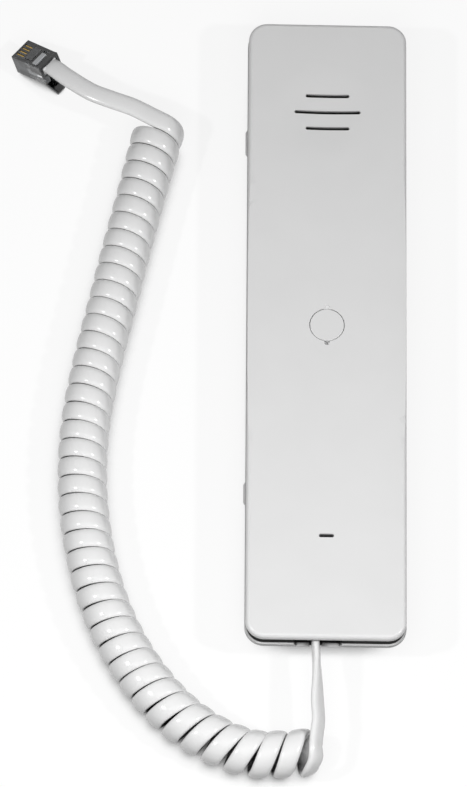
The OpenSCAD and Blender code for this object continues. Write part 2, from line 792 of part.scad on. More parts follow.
// ---------- modular plug, nose at y = 0, contacts on top ----------
module plug_body(angle) color([0.82, 0.84, 0.85, 0.5])
    difference() {
        translate([-plug_w / 2, 0, 0])
            cube([plug_w, plug_l, plug_h]);
        // passage for the flat cord
        translate([-cord_w / 2 - 0.3, plug_l - cord_grip - 0.2, cord_rise - cord_t / 2 - 0.25])
            cube([cord_w + 0.6, cord_grip + 1.2, cord_t + 0.5]);
        // room for the stripped wires
        translate([-contact_pitch * 1.5 - 0.6, 4.4, cord_rise - 0.6])
            cube([contact_pitch * 3 + 1.2, plug_l - cord_grip - 4.5, 1.2]);
        // contact slots
        for (k = [0:contact_n - 1])
            translate([(k - (contact_n - 1) / 2) * contact_pitch - slot_t / 2, -1, plug_h - 2.2])
                cube([slot_t, 4.6, 3]);
        // window of the strain relief bar
        translate([-plug_w / 2 + 1, plug_l - 4.2, plug_h - 0.5])
            cube([plug_w - 2, 2.1, 1]);
        // channel that the latch folds into
        translate([-latch_w / 2 - latch_side, latch_root - touch - latch_t * sin(angle), -1])
            cube([latch_w + 2 * latch_side, plug_l + 1, latch_t + 1 + latch_side]);
    }

module plug_contacts() color([0.85, 0.7, 0.3])
    for (k = [0:contact_n - 1])
        translate([(k - (contact_n - 1) / 2) * contact_pitch - contact_t / 2, 0.5, plug_h - 2.2])
            cube([contact_t, 2.9, 1.9]);

module plug_latch(angle) color([0.82, 0.84, 0.85, 0.5])
    translate([0, latch_root, latch_t])
        rotate([-angle, 0, 0])
            translate([-latch_w / 2, 0, -latch_t])
                cube([latch_w, plug_l + latch_over - latch_root, latch_t]);

module at_free_plug()
    translate([free_x, free_y, free_z])
        rotate([0, 0, free_turn])
            rotate([free_pitch, 0, 0])
                rotate([0, free_roll, 0])
                    children();

module at_handset_plug()
    translate([plug_side_x, plug_nose_y, jack_z])
        rotate([0, -90, 0])
            rotate([0, 0, 180])
                children();

module handset_plug_body() at_handset_plug() plug_body(latch_angle);
module handset_plug_contacts() at_handset_plug() plug_contacts();
module handset_plug_latch() at_handset_plug() plug_latch(latch_angle);
module free_plug_body() at_free_plug() plug_body(latch_free);
module free_plug_contacts() at_free_plug() plug_contacts();
module free_plug_latch() at_free_plug() plug_latch(latch_free);

// ---------- cord ----------
// Smooth curve through the coil's route
function route_pt(i) = coil_route[max(0, min(len(coil_route) - 1, i))];
function curve(s) = let (q = min(s / route_step, len(coil_route) - 1.0001), i = floor(q), t = q - i,
    a = i == 0 ? 2 * route_pt(0) - route_pt(1) : route_pt(i - 1), b = route_pt(i), c = route_pt(i + 1),
    d = i + 2 > len(coil_route) - 1 ? 2 * c - b : route_pt(i + 2))
    0.5 * (2 * b + (c - a) * t + (2 * a - 5 * b + 4 * c - d) * t * t + (3 * b - a - 3 * c + d) * t * t * t);
function free_s(k) = curl_pitch * k + curl_open * pow(max(0, k - open_from), 2);
function curl_s(k) = let (k1 = curls - end_push)
    k < k1 ? free_s(k)
        : free_s(k1) + (free_s(curls) - free_s(k1)) * min(1, (k - k1) / (end_push - end_rest));
function curl_rad(k) = curl_r + start_swell * max(0, 1 - k / swell_curls)
    - end_thin * max(0, (k - thin_from) / (curls - thin_from));
function heading(s) = unit(curve(s + 0.5) - curve(s - 0.5));
function curl_up(k) = let (t = heading(max(0.5, curl_s(k))), a = 360 * k)
    [-t[1] * sin(a), t[0] * sin(a), cos(a)];
// The curls near the handset lie over at a slant; the last quarter turn comes upright again
function slant(k) = let (u = min(1, max(0, 6 * (k - curls + 0.25))),
    ramp = max(0, (k - lean_from) / (curls - lean_from)))
    end_lean * ramp * (u > 0 ? u * u * (3 - 2 * u) - 1 : sin(360 * k));
function curl_pt(k) = let (c = curve(curl_s(k)), r = curl_rad(k), t = heading(max(0.5, curl_s(k))))
    [c[0], c[1], r + cord_t / 2 + 0.05] + r * curl_up(k) + slant(k) * [t[0], t[1], 0];
function twist(k) = end_twist * max(0, 1 - 2 * (curls - k));

steps = curls * curl_rings;
curl_path = [for (i = [0:steps]) curl_pt(i / curl_rings)];
curl_ups = [for (i = [0:steps]) let (k = i / curl_rings, u = curl_up(k), l = twist(k),
    t = unit(curl_pt(k + 0.02) - curl_pt(k - 0.02)), w = cross(t, u)) u * cos(l) + w * sin(l)];
tail_up = curl_ups[steps];
coil_path = concat([lead_end], curl_path, [tail_start]);
coil_ups = concat([[0, 0, 1]], curl_ups, [tail_up]);

// Least gap between neighbouring curls, measured between ring centres along the coil
gaps = [for (i = [curl_rings:steps - curl_rings]) let (t = unit(curl_path[i + 1] - curl_path[i - 1]))
    norm(cross(curl_path[i] - curl_path[i - curl_rings], t)) - curl_w];
echo(least_gap_between_curls = min(gaps));

lead_dir = unit(curl_path[0] - lead_end);
tail_dir = unit(tail_start - curl_path[steps]);
plug_dir = [-sin(free_turn) * cos(free_pitch), cos(free_turn) * cos(free_pitch), sin(free_pitch)];
plug_up = [cos(free_turn) * sin(free_roll) + sin(free_turn) * sin(free_pitch) * cos(free_roll),
    sin(free_turn) * sin(free_roll) - cos(free_turn) * sin(free_pitch) * cos(free_roll),
    cos(free_pitch) * cos(free_roll)];
plug_at = [free_x, free_y, free_z] + cord_rise * plug_up;
lead_path = concat([plug_at + plug_dir * (plug_l - cord_grip), plug_at + plug_dir * (plug_l + 1)],
    lead_route, [lead_end - 3 * lead_dir, lead_end]);
lead_ups = concat([plug_up, plug_up], [for (p = lead_route) [0, 0, 1]], [[0, 0, 1], [0, 0, 1]]);
tail_path = concat([tail_start, tail_start + 4 * tail_dir], tail_route,
    [[cord_x, plug_back_y - 1, jack_z], [cord_x, plug_back_y + cord_grip, jack_z]]);
tail_n = len(tail_path);
side_way = [-1, 0, 0];
tail_ups = [for (i = [0:tail_n - 1]) let (f = min(1, max(0, (i - 1) / 3)))
    unit(tail_up * (1 - f) + (tail_up[0] < 0 ? side_way : -side_way) * f)];

module cord_tail() color([0.88, 0.88, 0.87])
    ribbon(tail_path, tail_ups, cord_w / 2, cord_t / 2, 10);
module cord_coil() color([0.88, 0.88, 0.87])
    ribbon(coil_path, coil_ups, curl_w / 2, cord_t / 2, 6);
module cord_lead() color([0.88, 0.88, 0.87])
    ribbon(lead_path, lead_ups, cord_w / 2, cord_t / 2, 10);

front_shell();
gap_seal();
rear_shell();
case_screws();
push_key();
switch_body();
switch_plunger();
circuit_board();
board_screws();
board_connectors();
board_components();
balance_weight();
ear_cloth();
receiver_gasket();
receiver_diaphragm();
receiver_coil();
receiver_magnet();
receiver_frame();
receiver_pad();
mic_boot();
mic_capsule();
jack_housing();
jack_contacts();
receiver_leads();
mic_leads();
jack_leads();
handset_plug_body();
handset_plug_contacts();
handset_plug_latch();
free_plug_body();
free_plug_contacts();
free_plug_latch();
cord_tail();
cord_coil();
cord_lead();
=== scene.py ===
import json
import math
import bmesh
import bpy
from mathutils import Matrix, Vector

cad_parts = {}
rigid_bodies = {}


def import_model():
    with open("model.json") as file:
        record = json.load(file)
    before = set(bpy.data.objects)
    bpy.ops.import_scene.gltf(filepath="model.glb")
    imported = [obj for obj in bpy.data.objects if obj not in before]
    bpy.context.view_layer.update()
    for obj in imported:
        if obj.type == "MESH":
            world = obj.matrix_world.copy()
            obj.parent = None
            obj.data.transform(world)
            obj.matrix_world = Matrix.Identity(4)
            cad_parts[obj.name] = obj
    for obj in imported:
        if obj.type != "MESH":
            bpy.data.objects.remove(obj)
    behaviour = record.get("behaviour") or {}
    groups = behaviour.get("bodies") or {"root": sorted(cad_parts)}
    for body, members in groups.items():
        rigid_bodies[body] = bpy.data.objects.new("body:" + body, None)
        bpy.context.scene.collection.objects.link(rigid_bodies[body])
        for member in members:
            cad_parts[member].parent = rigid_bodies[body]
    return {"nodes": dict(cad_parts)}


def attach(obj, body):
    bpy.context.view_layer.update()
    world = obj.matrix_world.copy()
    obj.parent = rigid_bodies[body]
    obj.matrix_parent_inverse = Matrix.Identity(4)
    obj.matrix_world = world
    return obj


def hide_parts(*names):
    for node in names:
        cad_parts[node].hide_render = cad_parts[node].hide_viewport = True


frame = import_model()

bl_info = {
    "name": "Slimline handset with curly cord",
    "version": (1, 0, 0),
    "blender": (4, 5, 0),
    "location": "View3D > Sidebar > Handset",
    "description": "Makes the pieces, finishes and stage of a slim telephone handset with a curly cord",
    "category": "Object",
}

MM = 0.001
UP = Vector((0, 0, 1))
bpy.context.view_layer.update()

# every finish by its short name, filled by make_finishes
FINISH = {}

# middle of the key on the face, and how far round it no shade is painted on the face, in mm
KEY_AT = (0, 0.5, 18)
KEY_UNSHADED = 9


# ---------------------------------------------------------------- colours and nodes

# samples of each openness reading, enough for a smooth shade
OPENNESS_SAMPLES = 12
# width of the faint patches that cooling leaves in a moulding, in mm, and how far they change its
# roughness
PATCH_MM = 18
PATCH_SHEEN = 0.08
# width and height of the spark-eroded grain of a mould, in mm. A real one is two or three times
# finer across and wouldn't show, so it is drawn this coarse
GRAIN_MM = 0.25
GRAIN_HEIGHT = 0.02
# how much of its colour a wall keeps deep in a recess, where shade is painted, and the soft edge of a place
# left without painted shade, in mm
PAINTED_SHADE_KEEPS = 0.03
UNSHADED_EDGE = 4
# drawn metal has streaks about eight times as long as they are wide. Their width, in mm, is
# several times the real one, which wouldn't show
STREAK_DRAW = 0.12
STREAK_MM = 0.2
# the glossiest a streak gets, as roughness
STREAK_LEAST = 0.05
# flow ripples of a clear moulding: their width and height in mm
RIPPLE_MM = 2.5
RIPPLE_HEIGHT = 0.15
# where the flank of the free plug, painted clearer so that the jacket inside looks lit, starts across it
# and along it, in mm in the plug's own frame
FLANK_ACROSS = (3.5, 3.75)
FLANK_ALONG = (5.4, 6.4)
# depth between the threads of a cloth or the cells of a foam, in mm, and the share of their colour that the
# threads and the gaps show, as painted light on the threads and painted shade between them. Even black
# threads give back a little light
THREAD_DEPTH = 0.1
THREAD_PAINTED_LIGHT = 1.5
GAP_PAINTED_SHADE = 0.4
THREAD_LEAST = 0.004


def linear(code):
    """sRGB hex, such as "d8d8d6", to linear red, green and blue."""
    parts = [int(code[i:i + 2], 16) / 255 for i in (0, 2, 4)]
    return tuple(c / 12.92 if c <= 0.04045 else ((c + 0.055) / 1.055) ** 2.4 for c in parts)


def add(tree, kind, links=None, **settings):
    """Adds a node. settings are its properties or inputs, links are input: (node, output)."""
    node = tree.nodes.new(kind)
    node.location = (220 * len(tree.nodes), 0)
    for key, value in settings.items():
        if hasattr(node, key) and key not in node.inputs:
            setattr(node, key, value)
        else:
            node.inputs[key.replace("_", " ")].default_value = value
    for key, (source, output) in (links or {}).items():
        tree.links.new(source.outputs[output], node.inputs[key])
    return node


def new_material(name):
    """An empty node material with its output, and the object coordinates that patterns use."""
    made = bpy.data.materials.new(name)
    made.use_nodes = True
    tree = made.node_tree
    tree.nodes.clear()
    return made, tree, add(tree, "ShaderNodeOutputMaterial"), add(tree, "ShaderNodeTexCoord")


def openness(tree, place, painted_shade, unshaded_place):
    """How open the surface is, from 0 deep in a recess to 1 outside it or in the place left without painted
    shade. It says where shade is painted.
    """
    reach, start, full = painted_shade
    depth = add(tree, "ShaderNodeAmbientOcclusion", Distance=reach * MM, samples=OPENNESS_SAMPLES)
    shade = add(tree, "ShaderNodeMapRange", {"Value": (depth, "AO")}, From_Min=full, From_Max=start)
    if not unshaded_place:
        return shade, "Result"
    away = add(tree, "ShaderNodeVectorMath", {0: (place, "Object")}, operation="DISTANCE")
    away.inputs[1].default_value = [v * MM for v in unshaded_place[:3]]
    shade_free = add(tree, "ShaderNodeMapRange", {"Value": (away, "Value")}, From_Min=unshaded_place[3] * MM,
                From_Max=(unshaded_place[3] + UNSHADED_EDGE) * MM, To_Min=1.0, To_Max=0.0)
    both = add(tree, "ShaderNodeMath", {0: (shade, "Result"), 1: (shade_free, "Result")}, operation="MAXIMUM")
    return both, 0


def plastic(name, code, roughness, grain_mm=GRAIN_MM, grain_depth=0.15, mottle=0.03, specular=0.5,
            painted_shade=None, unshaded_place=None):
    """Plastic, rubber or lacquer: an even body colour, a fine grain, faint patches in tint and sheen.

    With painted shade, given as (reach in mm, openness where it starts, openness where it is full), narrow
    recesses are painted dark. A place given as (x, y, z, radius) in mm is left without painted shade.
    """
    made, tree, out, place = new_material(name)
    colour = linear(code) if isinstance(code, str) else tuple(code)
    patches = add(tree, "ShaderNodeTexNoise", {"Vector": (place, "Object")}, Scale=1 / (PATCH_MM * MM),
                  Detail=3.0)
    tint = add(tree, "ShaderNodeMix", {"Factor": (patches, "Fac")}, data_type="RGBA")
    tint.inputs[6].default_value = (*[c * (1 - mottle) for c in colour], 1)
    tint.inputs[7].default_value = (*[min(1, c * (1 + mottle)) for c in colour], 1)
    sheen = add(tree, "ShaderNodeMapRange", {"Value": (patches, "Fac")},
                To_Min=roughness * (1 - PATCH_SHEEN), To_Max=roughness * (1 + PATCH_SHEEN))
    grain = add(tree, "ShaderNodeTexNoise", {"Vector": (place, "Object")}, Scale=1 / (grain_mm * MM),
                Detail=2.0)
    bump = add(tree, "ShaderNodeBump", {"Height": (grain, "Fac")}, Strength=grain_depth,
               Distance=GRAIN_HEIGHT * MM)
    body = add(tree, "ShaderNodeBsdfPrincipled",
               {"Roughness": (sheen, "Result"), "Normal": (bump, "Normal")},
               IOR=1.49, Specular_IOR_Level=specular)
    tree.links.new(tint.outputs[2], body.inputs["Base Color"])
    if painted_shade:
        # painted shade: deep in a slot or recess the base colour goes nearly black, where little light
        # reaches
        factor = openness(tree, place, painted_shade, unshaded_place)
        deep = add(tree, "ShaderNodeMix", {"Factor": factor, 7: (tint, 2)}, data_type="RGBA")
        deep.inputs[6].default_value = (*[c * PAINTED_SHADE_KEEPS for c in colour], 1)
        tree.links.new(deep.outputs[2], body.inputs["Base Color"])
    tree.links.new(body.outputs["BSDF"], out.inputs["Surface"])
    return made


def metal(name, code, roughness, streak_mm=STREAK_MM, streak=0.12):
    """Bare or plated metal with faint drawn streaks in its gloss."""
    made, tree, out, place = new_material(name)
    stretch = add(tree, "ShaderNodeMapping", {"Vector": (place, "Object")}, Scale=(1, STREAK_DRAW, 1))
    marks = add(tree, "ShaderNodeTexNoise", {"Vector": (stretch, "Vector")}, Scale=1 / (streak_mm * MM),
                Detail=3.0)
    gloss = add(tree, "ShaderNodeMapRange", {"Value": (marks, "Fac")},
                To_Min=max(STREAK_LEAST, roughness - streak), To_Max=roughness + streak)
    body = add(tree, "ShaderNodeBsdfPrincipled", {"Roughness": (gloss, "Result")}, Metallic=1.0)
    body.inputs["Base Color"].default_value = (*linear(code), 1)
    tree.links.new(body.outputs["BSDF"], out.inputs["Surface"])
    return made


def flank_painted_light(tree, place, code, flank):
    """Colour of the free plug: its tint, painted clearer at its thin flanks over the clamped end of the
    jacket, so that the jacket inside looks lit.
    """
    turn = plug_frame("free")
    local = add(tree, "ShaderNodeMapping", {"Vector": (place, "Object")}, vector_type="TEXTURE",
                Location=turn.translation * MM, Rotation=turn.to_euler())
    axes = add(tree, "ShaderNodeSeparateXYZ", {"Vector": (local, "Vector")})
    width = add(tree, "ShaderNodeMath", {0: (axes, "X")}, operation="ABSOLUTE")
    outer = add(tree, "ShaderNodeMapRange", {"Value": (width, 0)}, From_Min=FLANK_ACROSS[0] * MM,
                From_Max=FLANK_ACROSS[1] * MM)
    behind = add(tree, "ShaderNodeMapRange", {"Value": (axes, "Y")}, From_Min=FLANK_ALONG[0] * MM,
                 From_Max=FLANK_ALONG[1] * MM)
    near = add(tree, "ShaderNodeMath", {0: (outer, "Result"), 1: (behind, "Result")}, operation="MULTIPLY")
    tint = add(tree, "ShaderNodeMix", {0: (near, 0)}, data_type="RGBA")
    tint.inputs[6].default_value = (*linear(code), 1)
    tint.inputs[7].default_value = (*linear(flank), 1)
    return tint


def clear_plastic(name, code, roughness, flank=None):
    """Clear polycarbonate under a tint given per piece, the dark ones as painted shade, with faint flow
    ripples from moulding.
    """
    made, tree, out, place = new_material(name)
    flow = add(tree, "ShaderNodeTexNoise", {"Vector": (place, "Object")}, Scale=1 / (RIPPLE_MM * MM),
               Detail=2.0)
    bump = add(tree, "ShaderNodeBump", {"Height": (flow, "Fac")}, Strength=0.25,
               Distance=RIPPLE_HEIGHT * MM)
    body = add(tree, "ShaderNodeBsdfPrincipled", {"Normal": (bump, "Normal")}, IOR=1.58,
               Roughness=roughness, Transmission_Weight=1.0, Specular_IOR_Level=0.08)
    body.inputs["Base Color"].default_value = (*linear(code), 1)
    if flank:
        tint = flank_painted_light(tree, place, code, flank)
        tree.links.new(tint.outputs[2], body.inputs["Base Color"])
    tree.links.new(body.outputs["BSDF"], out.inputs["Surface"])
    return made


def woven(name, code, thread_mm, roughness=0.9):
    """Cloth or open foam: threads or cells, drawn at their own spacing, with painted light on them and
    painted shade between them.
    """
    made, tree, out, place = new_material(name)
    cells = add(tree, "ShaderNodeTexVoronoi", {"Vector": (place, "Object")}, Scale=1 / (thread_mm * MM))
    shade = add(tree, "ShaderNodeMix", {"Factor": (cells, "Distance")}, data_type="RGBA")
    shade.inputs[6].default_value = (*[c * THREAD_PAINTED_LIGHT + THREAD_LEAST for c in linear(code)], 1)
    shade.inputs[7].default_value = (*[c * GAP_PAINTED_SHADE for c in linear(code)], 1)
    bump = add(tree, "ShaderNodeBump", {"Height": (cells, "Distance")}, Strength=0.6,
               Distance=THREAD_DEPTH * MM, invert=True)
    body = add(tree, "ShaderNodeBsdfPrincipled", {"Normal": (bump, "Normal")}, Roughness=roughness,
               Specular_IOR_Level=0.1)
    tree.links.new(shade.outputs[2], body.inputs["Base Color"])
    tree.links.new(body.outputs["BSDF"], out.inputs["Surface"])
    return made


# ---------------------------------------------------------------- pieces

# points of a CAD node closer than this are one, in mm, and faces flatter than this are one, in degrees
MERGE_MM = 0.002
FLAT_DEG = 0.1
# edges blunter than the first angle are shaded smooth, sharper than the second are bevelled, in degrees
SMOOTH_DEG = 20
BEVEL_DEG = 32


def cad(name):
    """The CAD node of that name. A missing or empty one stops the build."""
    node = frame["nodes"].get(name)
    if node is None or not node.data.polygons:
        raise RuntimeError("the frame has no solid called " + name)
    return node


def dress(piece, material):
    """Gives a piece one material."""
    piece.data.materials.clear()
    piece.data.materials.append(material)
    return piece


def new_object(name, bm):
    """Makes a finished bmesh an object at the origin of the scene."""
    mesh = bpy.data.meshes.new(name)
    bm.to_mesh(mesh)
    bm.free()
    made = bpy.data.objects.new(name, mesh)
    bpy.context.scene.collection.objects.link(made)
    return made


def new_piece(name, bm, body, material):
    """Makes a finished bmesh a piece that rides on a body."""
    piece = new_object(name, bm)
    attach(piece, body)
    return dress(piece, material)


def rounded_copy(node, name, body, material, edge_mm):
    """A merged copy of a CAD node with its edges eased by a small bevel and its curves shaded smooth."""
    bm = bmesh.new()
    bm.from_mesh(cad(node).data)
    bmesh.ops.remove_doubles(bm, verts=bm.verts, dist=MERGE_MM * MM)
    bmesh.ops.dissolve_limit(bm, angle_limit=math.radians(FLAT_DEG), use_dissolve_boundaries=False,
                             verts=bm.verts, edges=bm.edges)
    for face in bm.faces:
        face.smooth = True
    for edge in bm.edges:
        edge.smooth = not edge.is_manifold or edge.calc_face_angle(0) < math.radians(SMOOTH_DEG)
    piece = new_piece(name, bm, body, material)
    if edge_mm:
        ease = piece.modifiers.new("Eased edges", "BEVEL")
        ease.width = edge_mm * MM
        ease.segments = 2
        ease.limit_method = "ANGLE"
        ease.angle_limit = math.radians(BEVEL_DEG)
        ease.harden_normals = False
        ease.use_clamp_overlap = True
    flat = piece.modifiers.new("Flat faces stay flat", "WEIGHTED_NORMAL")
    flat.keep_sharp = True
    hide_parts(node)
    return piece


# ---------------------------------------------------------------- the cord's route
# The middle line is the same as in the solids. Over the last half curl and the tail the flat
# section is turned up to 22 degrees less than there. All lengths here are in mm.

MOUTH_END_Y = -96.8

# the line under the curls, a point about every ROUTE_STEP, from the free plug to the mouth end
COIL_ROUTE = [(-48.8, 66.5), (-53.4, 47.4), (-57.9, 28.4), (-62.1, 9.4), (-66.3, -9.6), (-69.3, -29),
              (-69.7, -48.6), (-67.2, -68.1), (-61.6, -87.2), (-52.2, -104.7), (-39.1, -119.2),
              (-21.5, -128), (-2.3, -127.3)]
ROUTE_STEP = 19.6
# way either side of a point, and part of a curl either side, over which a direction is measured
NEAR_WAY = 0.5
NEAR_CURL = 0.02

# curls are this far apart, and stand wider apart from curl OPEN_FROM on
CURL_PITCH = 5.6
CURL_OPEN = 0.052
OPEN_FROM = 31
# the first curls are wider, the last ones drawn thinner
START_SWELL = 0.4
SWELL_CURLS = 4
END_THIN = 0.45
THIN_FROM = 34
# the last curl hurries along the route from END_PUSH curls before the end, and arrives END_REST
# curls before it
END_PUSH = 0.9
END_REST = 0.25
# the last curls lean along the route, forwards on one side and back on the other. From BACK_POINT
# curls before the end, where the lean is furthest back, it eases out in one LEAN_OUT-th of a curl
END_LEAN = 1.6
LEAN_FROM = 30
BACK_POINT = 0.25
LEAN_OUT = 6
# turn of the flat section over the last half curl, in degrees
END_TWIST = 56
# gap under the cord where it lies on the floor
FLOOR_GAP = 0.05

# straight stretches, from the free plug to the coil and from the coil to the handset
LEAD_END = Vector((-52, 68.2, 14))
LEAD_RUN_IN = 3
LEAD_ROUTE = [(-75.7, 80.7, 11.7), (-69.2, 75.8, 13.2), (-63.4, 73.1, 13.9), (-57.5, 70.9, 14.1)]
TAIL_START = Vector((-2.3, -123.4, 12.5))
TAIL_RUN_OUT = 4
TAIL_ROUTE = [(-2.2, -114.3, 12.6), (-2.3, -106.8, 12.6), (-2.6, -100.8, 12.5),
              (-2.8, MOUTH_END_Y, 12.2)]
# point of the tail from which its flat side turns to lie as in the plug, and over how many points
TURN_FROM = 2
TURN_OVER = 2
# rings of the mesh between two points of a straight stretch, and from a stretch to the coil
SPAN_RINGS = 6
JOIN_RINGS = 4

# plugs: place and turn of the free one, length, height of the cord and how deep it is gripped
PLUG_AT = Vector((-88, 90.4, 0.4))
PLUG_TURN = math.radians(-127.5)
PLUG_PITCH = math.radians(26.5)
PLUG_ROLL = math.radians(-5)
PLUG_L = 12
CORD_RISE = 4.3
CORD_GRIP = 5.6
# the handset's plug stands on its side in the outlet, its back this far inside the mouth end
PLUG_SIDE_X = 1.5
PLUG_INSET = 4.9
PLUG_BACK_Y = MOUTH_END_Y + PLUG_INSET
JACK_Z = 11.2
CORD_X = PLUG_SIDE_X - CORD_RISE
# straight way of the cord behind a plug
STRAIGHT = 1

# the cord's section, a flat band with well rounded edges: sides of its outline, and the exponents
# of the outline across and through it, where 1 is an ellipse and less is boxier
BAND_SIDES = 28
EDGE_ROUND = 0.82
FACE_ROUND = 0.84


def plug_frame(side):
    """Where a plug sits: its nose is at the origin, the cord leaves along +Y, contacts on top."""
    if side == "free":
        turned = Matrix.Rotation(PLUG_TURN, 4, "Z") @ Matrix.Rotation(PLUG_PITCH, 4, "X")
        return Matrix.Translation(PLUG_AT) @ turned @ Matrix.Rotation(PLUG_ROLL, 4, "Y")
    return Matrix(((0, 0, -1, PLUG_SIDE_X), (0, -1, 0, PLUG_BACK_Y + PLUG_L), (-1, 0, 0, JACK_Z),
                   (0, 0, 0, 1)))


def between(a, b, c, d, t):
    """The point at t, from 0 to 1, between b and c on a smooth line through a, b, c and d."""
    return 0.5 * (2 * b + (c - a) * t + (2 * a - 5 * b + 4 * c - d) * t * t
                  + (3 * b - a - 3 * c + d) * t ** 3)


def smooth_line(points, per_span):
    """A smooth line through points."""
    out = []
    for i in range(len(points) - 1):
        b, c = points[i], points[i + 1]
        a = points[i - 1] if i else 2 * b - c
        d = points[i + 2] if i + 2 < len(points) else 2 * c - b
        out += [between(a, b, c, d, j / per_span) for j in range(per_span)]
    return out + [points[-1]]


def route_point(i):
    """A point of the coil's route, flat on the floor."""
    return Vector((*COIL_ROUTE[max(0, min(len(COIL_ROUTE) - 1, i))], 0))


def route_curve(s):
    """The point s mm along the coil's route. It stops just short of the last point."""
    q = min(s / ROUTE_STEP, len(COIL_ROUTE) - 1.0001)
    i = math.floor(q)
    b, c = route_point(i), route_point(i + 1)
    a = 2 * b - c if i == 0 else route_point(i - 1)
    d = 2 * c - b if i + 2 > len(COIL_ROUTE) - 1 else route_point(i + 2)
    return between(a, b, c, d, q - i)


def free_s(k):
    """Way along the route at curl k, without the hurry of the last curl."""
    return CURL_PITCH * k + CURL_OPEN * max(0, k - OPEN_FROM) ** 2


def curl_s(k, turns):
    """Way along the route at curl k. The last curl ends early, where the cord leaves for the handset."""
    start = turns - END_PUSH
    if k < start:
        return free_s(k)
    return free_s(start) + (free_s(turns) - free_s(start)) * min(1, (k - start) / (END_PUSH - END_REST))


def route_way(k, turns):
    """Direction of the route at curl k."""
    s = max(NEAR_WAY, curl_s(k, turns))
    return (route_curve(s + NEAR_WAY) - route_curve(s - NEAR_WAY)).normalized()


def curl_up(k, turns):
    """Direction from the middle of the coil out to the cord at curl k."""
    t = route_way(k, turns)
    a = 2 * math.pi * k
    return Vector((-t.y * math.sin(a), t.x * math.sin(a), math.cos(a)))


def past(k, start, turns):
    """How far curl k is from curl start, at 0, to the end of the coil, at 1."""
    return max(0, k - start) / max(1, turns - start)


def curl_radius(k, sizes):
    """Radius of the curls along the cord: a little wide at the free end, thinner near the handset."""
    return (sizes.curl_radius / MM + START_SWELL * max(0, 1 - k / SWELL_CURLS)
            - END_THIN * past(k, THIN_FROM, sizes.curls))


def curl_point(k, sizes):
    """The middle of the cord at curl k. Each curl rests on the floor."""
    turns, radius = sizes.curls, curl_radius(k, sizes)
    centre = route_curve(curl_s(k, turns))
    centre.z = radius + sizes.thickness / MM / 2 + FLOOR_GAP
    u = min(1, max(0, LEAN_OUT * (k - turns + BACK_POINT)))
    wave = u * u * (3 - 2 * u) - 1 if u > 0 else math.sin(2 * math.pi * k)
    lean = END_LEAN * past(k, LEAN_FROM, turns) * wave
    return centre + radius * curl_up(k, turns) + lean * route_way(k, turns)


def lead_points(first):
    """Points from the free plug to the first curl, and the way the flat side faces at each."""
    way, plug_up = (plug_frame("free").to_3x3().col[i] for i in (1, 2))
    seat = PLUG_AT + CORD_RISE * plug_up
    points = [seat + way * (PLUG_L - CORD_GRIP), seat + way * (PLUG_L + STRAIGHT)]
    points += [Vector(p) for p in LEAD_ROUTE]
    points += [LEAD_END - LEAD_RUN_IN * (first - LEAD_END).normalized(), LEAD_END]
    return points, [plug_up, plug_up] + [UP] * (len(points) - 2)


def coil_points(sizes):
    """Points along the curls. The flat side faces outwards, and turns over the last half curl."""
    turns = sizes.curls
    points, ups = [], []
    for i in range(turns * sizes.rings + 1):
        k = i / sizes.rings
        points.append(curl_point(k, sizes))
        t = (curl_point(k + NEAR_CURL, sizes) - curl_point(k - NEAR_CURL, sizes)).normalized()
        u = curl_up(k, turns)
        twist = math.radians(END_TWIST * max(0, 1 - 2 * (turns - k)))
        ups.append(u * math.cos(twist) + t.cross(u) * math.sin(twist))
    return points, ups


def tail_points(last, last_up):
    """Points from the last curl into the handset. The flat side turns sideways, as it is in the plug."""
    points = [TAIL_START, TAIL_START + TAIL_RUN_OUT * (TAIL_START - last).normalized()]
    points += [Vector(p) for p in TAIL_ROUTE]
    points += [Vector((CORD_X, y, JACK_Z)) for y in (PLUG_BACK_Y - STRAIGHT, PLUG_BACK_Y + CORD_GRIP)]
    side = Vector((-1 if last_up.x < 0 else 1, 0, 0))
    ups = []
    for i in range(len(points)):
        f = min(1, max(0, (i - TURN_FROM) / TURN_OVER))
        ups.append((last_up * (1 - f) + side * f).normalized())
    return points, ups


def cord_line(sizes):
    """The cord's middle line and the way its flat side faces, from the free plug to the handset."""
    coil, coil_ups = coil_points(sizes)
    first, last, last_up = coil[0], coil[-1], coil_ups[-1]
    lead, lead_ups = lead_points(first)
    tail, tail_ups = tail_points(last, last_up)
    join = JOIN_RINGS - 1
    line = smooth_line(lead, SPAN_RINGS) + smooth_line([LEAD_END, first], JOIN_RINGS)[1:-1] + coil
    line += smooth_line([last, TAIL_START], JOIN_RINGS)[1:-1] + smooth_line(tail, SPAN_RINGS)
    ups = smooth_line(lead_ups, SPAN_RINGS) + [UP] * join + coil_ups
    ups += [last_up] * join + smooth_line(tail_ups, SPAN_RINGS)
    return line, [u.normalized() for u in ups]


def band_ring(bm, point, along, up, half_width, half_thickness):
    """One ring of the flat band, square to its line."""
    across = up.cross(along).normalized()
    out = along.cross(across)
    ring = []
    for j in range(BAND_SIDES):
        turn = 2 * math.pi * j / BAND_SIDES
        c, s = math.cos(turn), math.sin(turn)
        x = math.copysign(abs(c) ** EDGE_ROUND, c)
        y = math.copysign(abs(s) ** FACE_ROUND, s)
        ring.append(bm.verts.new((point + across * half_width * x + out * half_thickness * y) * MM))
    return ring


def band(line, ups, half_width, half_thickness):
    """A closed flat band along a line, as a bmesh."""
    bm = bmesh.new()
    rings = []
    for i, point in enumerate(line):
        along = (line[min(i + 1, len(line) - 1)] - line[max(i - 1, 0)]).normalized()
        rings.append(band_ring(bm, point, along, ups[i], half_width, half_thickness))
    for one, two in zip(rings, rings[1:]):
        for j in range(BAND_SIDES):
            k = (j + 1) % BAND_SIDES
            bm.faces.new((one[j], one[k], two[k], two[j])).smooth = True
    bm.faces.new(list(reversed(rings[0])))
    bm.faces.new(rings[-1])
    bmesh.ops.recalc_face_normals(bm, faces=bm.faces)
    return bm


